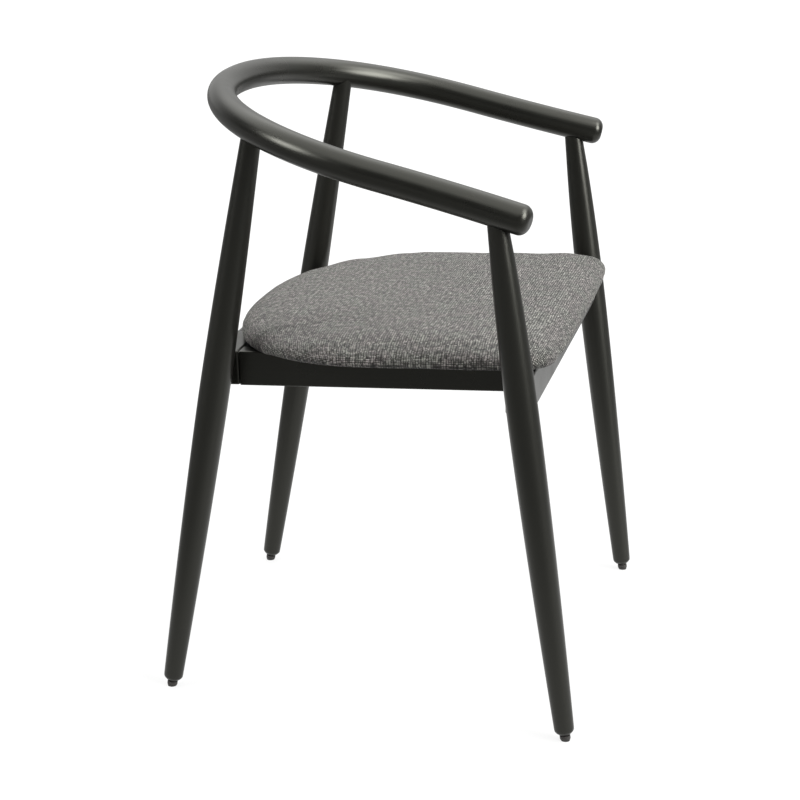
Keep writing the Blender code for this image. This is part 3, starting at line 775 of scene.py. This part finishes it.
# ---------------------------------------------------------------- edge of the pad
class Edge:
    """A closed plan curve, for how far outside it a point lies and where it is nearest."""

    def __init__(self, scale, inward=0.0):
        outline = np.array(scaled_outline(scale, 200))
        along = np.roll(outline, -1, axis=0) - np.roll(outline, 1, axis=0)
        along /= np.linalg.norm(along, axis=1)[:, None]
        self.normals = np.column_stack([along[:, 1], -along[:, 0]])
        self.points = outline - self.normals * inward
        self.tree = KDTree(len(self.points))
        for index, (x, y) in enumerate(self.points):
            self.tree.insert((x, y, 0.0), index)
        self.tree.balance()

    def look_up(self, plan):
        """(nearest points, outward normals, signed distances) for an array of plan points."""
        nearest = np.array([self.tree.find((x, y, 0.0))[1] for x, y in plan])
        place, normal = self.points[nearest], self.normals[nearest]
        return place, normal, ((plan - place) * normal).sum(axis=1)


def weave_coordinates(local):
    """Where each point of the cover was on the flat cloth that it was cut from."""
    place, normal, past = Edge(1.0, EDGE_BAND).look_up(local[:, :2])
    inner = pad_height(1.0 - EDGE_BAND / SEAT_REACH, 0.0)
    over = np.clip(past / EDGE_BAND, 0.0, 1.0)
    drop = np.clip(inner - (local[:, 2] - FRAME_HEIGHT), 0.0, None) * over
    flat = place + normal * (np.minimum(past, EDGE_BAND) + drop)[:, None]
    return np.where((past > 0.0)[:, None], flat, local[:, :2])


def store_weave(obj):
    flat = weave_coordinates(seat_coordinates(coordinates(obj.data)))
    corners = np.zeros(len(obj.data.loops), np.int32)
    obj.data.loops.foreach_get("vertex_index", corners)
    layer = obj.data.uv_layers.new(name="weave")
    layer.data.foreach_set("uv", flat[corners].astype(np.float32).ravel())


def handwork(local):
    """Pull marks above the staples, folds at the front corners and a slightly uneven top."""
    place, normal, past = Edge(1.0, EDGE_BAND).look_up(local[:, :2])
    height = local[:, 2] - FRAME_HEIGHT
    outside = np.clip(past / EDGE_BAND, 0.0, 1.0)
    lower = np.clip(1.0 - height / SEAT_SHOULDER_HEIGHT, 0.0, 1.0) * outside
    above = np.clip((height - SEAT_UNDERSIDE) / STAPLED_MARGIN, 0.0, 1.0)
    bearing = np.arctan2(place[:, 1] - SEAT_CENTRE_Y, place[:, 0])
    pulls = np.sin(bearing * SEAT_REACH * 2.0 * math.pi / PULL_SPACING)
    depth = -PULL_DEPTH * (0.6 + 0.4 * pulls) * lower ** 2 * above
    corner = np.array([SEAT_FRONT_HALF_WIDTH - SEAT_CORNER_RADIUS, SEAT_FRONT_Y + SEAT_CORNER_RADIUS])
    width = FOLD_WIDTH / SEAT_CORNER_RADIUS
    for sign in SIDES.values():
        arm = local[:, :2] - corner * (sign, 1.0)
        turn = np.arctan2(-arm[:, 1], arm[:, 0] * sign)
        reach = np.linalg.norm(arm, axis=1) > FOLD_INSIDE
        for middle, share in CORNER_FOLDS:
            fold = np.exp(-((turn - middle) / width) ** 2)
            depth -= FOLD_DEPTH * share * fold * reach * lower ** 1.2 * above
    local[:, :2] += normal * depth[:, None]
    broad, small = LUMPS_PER_METRE
    for index, (x, y, _) in enumerate(local):
        rise = noise.noise((x * broad, y * broad, 3.0)) + 0.5 * noise.noise((x * small, y * small, 8.0))
        local[index, 2] += UNEVENNESS * rise * above[index]
    return local


# ---------------------------------------------------------------- seat pieces
def copy_form(form, name):
    obj = bpy.data.objects.new(name, form.data.copy())
    bpy.context.scene.collection.objects.link(obj)
    return obj


def build_cover(form, material):
    """Woven cover: the skin of the form, open below inside the hem, with its real thickness."""
    cover = copy_form(form, "woven_cover")
    mesh = cover.data
    middles = np.zeros(len(mesh.polygons) * 3, np.float32)
    mesh.polygons.foreach_get("center", middles)
    local = seat_coordinates(middles.reshape(-1, 3).astype(float))
    _, _, past = Edge(COVER_HEM).look_up(local[:, :2])
    under = (past < 0.0) & (local[:, 2] < FRAME_HEIGHT + SEAT_EDGE_HEIGHT)
    made = bmesh.new()
    made.from_mesh(mesh)
    made.faces.ensure_lookup_table()
    bmesh.ops.delete(made, geom=[made.faces[int(i)] for i in np.where(under)[0]], context="FACES")
    made.to_mesh(mesh)
    made.free()
    thick = cover.modifiers.new("thick", "SOLIDIFY")
    thick.thickness = COVER_THICKNESS
    thick.offset = -1.0
    use_evaluated(cover)
    cover.data.shade_smooth()
    store_weave(cover)
    cover.data.materials.clear()
    cover.data.materials.append(material)
    return cover


def board_low():
    return FRAME_HEIGHT + SEAT_UNDERSIDE + COVER_THICKNESS + GAP


def build_foam(form, material):
    """Foam block under the cover, hollowed for the board."""
    foam = copy_form(form, "foam_block")
    remesh(foam, FOAM_VOXEL)
    points = coordinates(foam.data)
    normals = np.zeros(len(foam.data.vertices) * 3, np.float32)
    foam.data.vertices.foreach_get("normal", normals)
    set_coordinates(foam.data, points - normals.reshape(-1, 3) * (COVER_THICKNESS + 3.0 * GAP))
    share = BOARD_SCALE + 1.5 * GAP / SEAT_REACH
    low, high = board_low() - CUT_MARGIN, board_low() + BOARD_THICKNESS + GAP
    cut(foam, *seat_prism(scaled_outline(share), low, high))
    foam.data.set_sharp_from_angle(angle=math.radians(50.0))
    foam.data.materials.clear()
    foam.data.materials.append(material)
    return foam


def sag(x, along):
    """How far the lining hangs below the rails inside the frame."""
    side = SIDE_RAIL_OUTER - SIDE_RAIL_THICKNESS - abs(x)
    inside = min(side, REAR_RAIL_SPAN[0] - along, along - FRONT_RAIL_SPAN[1])
    share = min(max(inside / SAG_REACH, 0.0), 1.0)
    ripple = 0.12 * noise.noise((x * 30.0, along * 30.0, 1.0))
    return CLOTH_SAG * share * share * (3.0 - 2.0 * share) * (1.0 + ripple)


def build_lining(material):
    """Black lining under the board, holed for the seat screws."""
    points = []
    for scale in np.linspace(CLOTH_SCALE, 0.02, LINING_RINGS):
        for x, along in scaled_outline(scale, 24):
            points.append(seat_point(x, along, FRAME_HEIGHT + GAP - sag(x, along)))
    count = len(seat_outline(24))
    faces = stack_faces(count, LINING_RINGS, False)
    faces.append(tuple(len(points) - count + j for j in range(count)))
    lining = add_mesh("seat_lining", points, faces)
    thick = lining.modifiers.new("thick", "SOLIDIFY")
    thick.thickness = CLOTH_THICKNESS
    thick.offset = 1.0
    use_evaluated(lining)
    for span, turn in ((REAR_RAIL_SPAN[0], -1.0), (FRONT_RAIL_SPAN[1], 1.0)):
        for sign in SIDES.values():
            x = sign * (SIDE_RAIL_OUTER - SIDE_RAIL_THICKNESS - SCREW_FROM_CORNER)
            along = span + turn * SCREW_FROM_CORNER
            circle = [(x + SCREW_HOLE * math.cos(a), along + SCREW_HOLE * math.sin(a))
                      for a in np.linspace(0.0, 2.0 * math.pi, 16, endpoint=False)]
            cut(lining, *seat_prism(circle, FRAME_HEIGHT - CUT_MARGIN, FRAME_HEIGHT + CUT_MARGIN))
    lining.data.materials.clear()
    lining.data.materials.append(material)
    return lining


# ---------------------------------------------------------------- stage
def build_camera():
    data = bpy.data.cameras.new("camera")
    data.lens = CAMERA_LENS
    data.sensor_width = 36.0
    camera = bpy.data.objects.new("camera", data)
    bpy.context.scene.collection.objects.link(camera)
    forward = (Vector(CAMERA_AIM) - Vector(CAMERA_PLACE)).normalized()
    right = forward.cross(Vector((0.0, 0.0, 1.0))).normalized()
    up = right.cross(forward)
    cosine, sine = math.cos(CAMERA_ROLL), math.sin(CAMERA_ROLL)
    rotation = Matrix((right * cosine + up * sine, up * cosine - right * sine, -forward)).transposed()
    camera.matrix_world = Matrix.Translation(CAMERA_PLACE) @ rotation.to_4x4()
    bpy.context.scene.camera = camera


def build_floor():
    """Pale floor: white for the camera, and greyer with one brighter pool for all that it lights."""
    corners = [(x * FLOOR_HALF, y * FLOOR_HALF, 0.0) for x, y in ((-1, -1), (1, -1), (1, 1), (-1, 1))]
    floor = add_mesh("floor", corners, [(0, 1, 2, 3)])
    graph = material_graph("floor")
    seen = graph.node("LightPath").outputs["Is Camera Ray"]
    x, y, _ = graph.parts(graph.object_place())
    x = graph.minus(x, POOL_CENTRE[0])
    y = graph.minus(y, POOL_CENTRE[1])
    square = graph.plus(graph.times(x, x), graph.times(y, y))
    away = graph.math("SQRT", square)
    unseen = graph.mix(graph.smooth_step(away, *POOL_REACH), POOL_GLOW, 0.0)
    graph.set("Base Color", (*(FLOOR_SHADE,) * 3, 1.0))
    graph.set("Roughness", 0.9)
    graph.set("Specular IOR Level", 0.1)
    graph.set("Emission Color", (1.0, 1.0, 1.0, 1.0))
    graph.set("Emission Strength", graph.mix(seen, unseen, FLOOR_GLOW))
    floor.data.materials.append(graph.owner)


def build_light():
    """A dim room with soft boxes, all as a smooth glow of the surroundings."""
    graph = Graph(bpy.data.worlds.new("studio"), "Background")
    place = graph.node("TexCoord").outputs["Generated"]
    level = STUDIO_LEVEL
    for direction, full, fading, radiance in SOFT_BOXES:
        dot = graph.node("VectorMath")
        dot.operation = "DOT_PRODUCT"
        graph.put(dot.inputs[0], place)
        dot.inputs[1].default_value = Vector(direction).normalized()
        share = graph.smooth_step(dot.outputs["Value"], math.cos(math.radians(fading)),
                                  math.cos(math.radians(full)))
        level = graph.plus(graph.times(share, radiance), level)
    graph.set("Color", (1.0, 1.0, 0.985, 1.0))
    graph.set("Strength", level)
    bpy.context.scene.world = graph.owner
    bpy.context.scene.view_settings.view_transform = "Standard"


# ---------------------------------------------------------------- the whole chair
def dress_frame(materials):
    """Give each CAD node that stays a finish; the corner blocks take the black lacquer as painted shade for
    the gap between pad and rails.
    """
    finish = {
        "front_rail": "lacquer_x",
        "rear_rail": "lacquer_x",
        "side_rail": "lacquer_y",
        # painted shade: the corner blocks are made black so the gap between pad and rails stays dark
        "corner_block": "lacquer_x",
        "glide": "nylon",
        "seat_screw": "steel",
    }
    for name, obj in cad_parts.items():
        kind = next((value for key, value in finish.items() if name.startswith(key)), "bare")
        for slot in obj.material_slots:
            slot.material = materials[kind]


def show(piece, *nodes):
    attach(piece, "root")
    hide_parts(*nodes)


def build_chair():
    materials = {
        "lacquer": lacquer_material("black_wood", None),
        "lacquer_x": lacquer_material("black_wood_across", "x"),
        "lacquer_y": lacquer_material("black_wood_along", "y"),
        "weave": weave_material(),
        "nylon": nylon_material(),
        "bare": bare_wood_material(),
        "foam": foam_material(),
        "lining": lining_material(),
        "steel": steel_material(),
    }
    dress_frame(materials)
    show(build_arm_rail(materials["lacquer"]), "arm_rail")
    for end in ENDS:
        for side in SIDES:
            show(build_leg(end, side, materials["lacquer"]), f"leg_{end}_{side}")
    form = build_pad_form()
    cover = build_cover(form, materials["weave"])
    foam = build_foam(form, materials["foam"])
    lining = build_lining(materials["lining"])
    bpy.data.objects.remove(form, do_unlink=True)
    show(cover, "seat_cover")
    show(foam, "seat_foam")
    show(lining, "dust_cloth")


build_chair()
build_camera()
build_floor()
build_light()
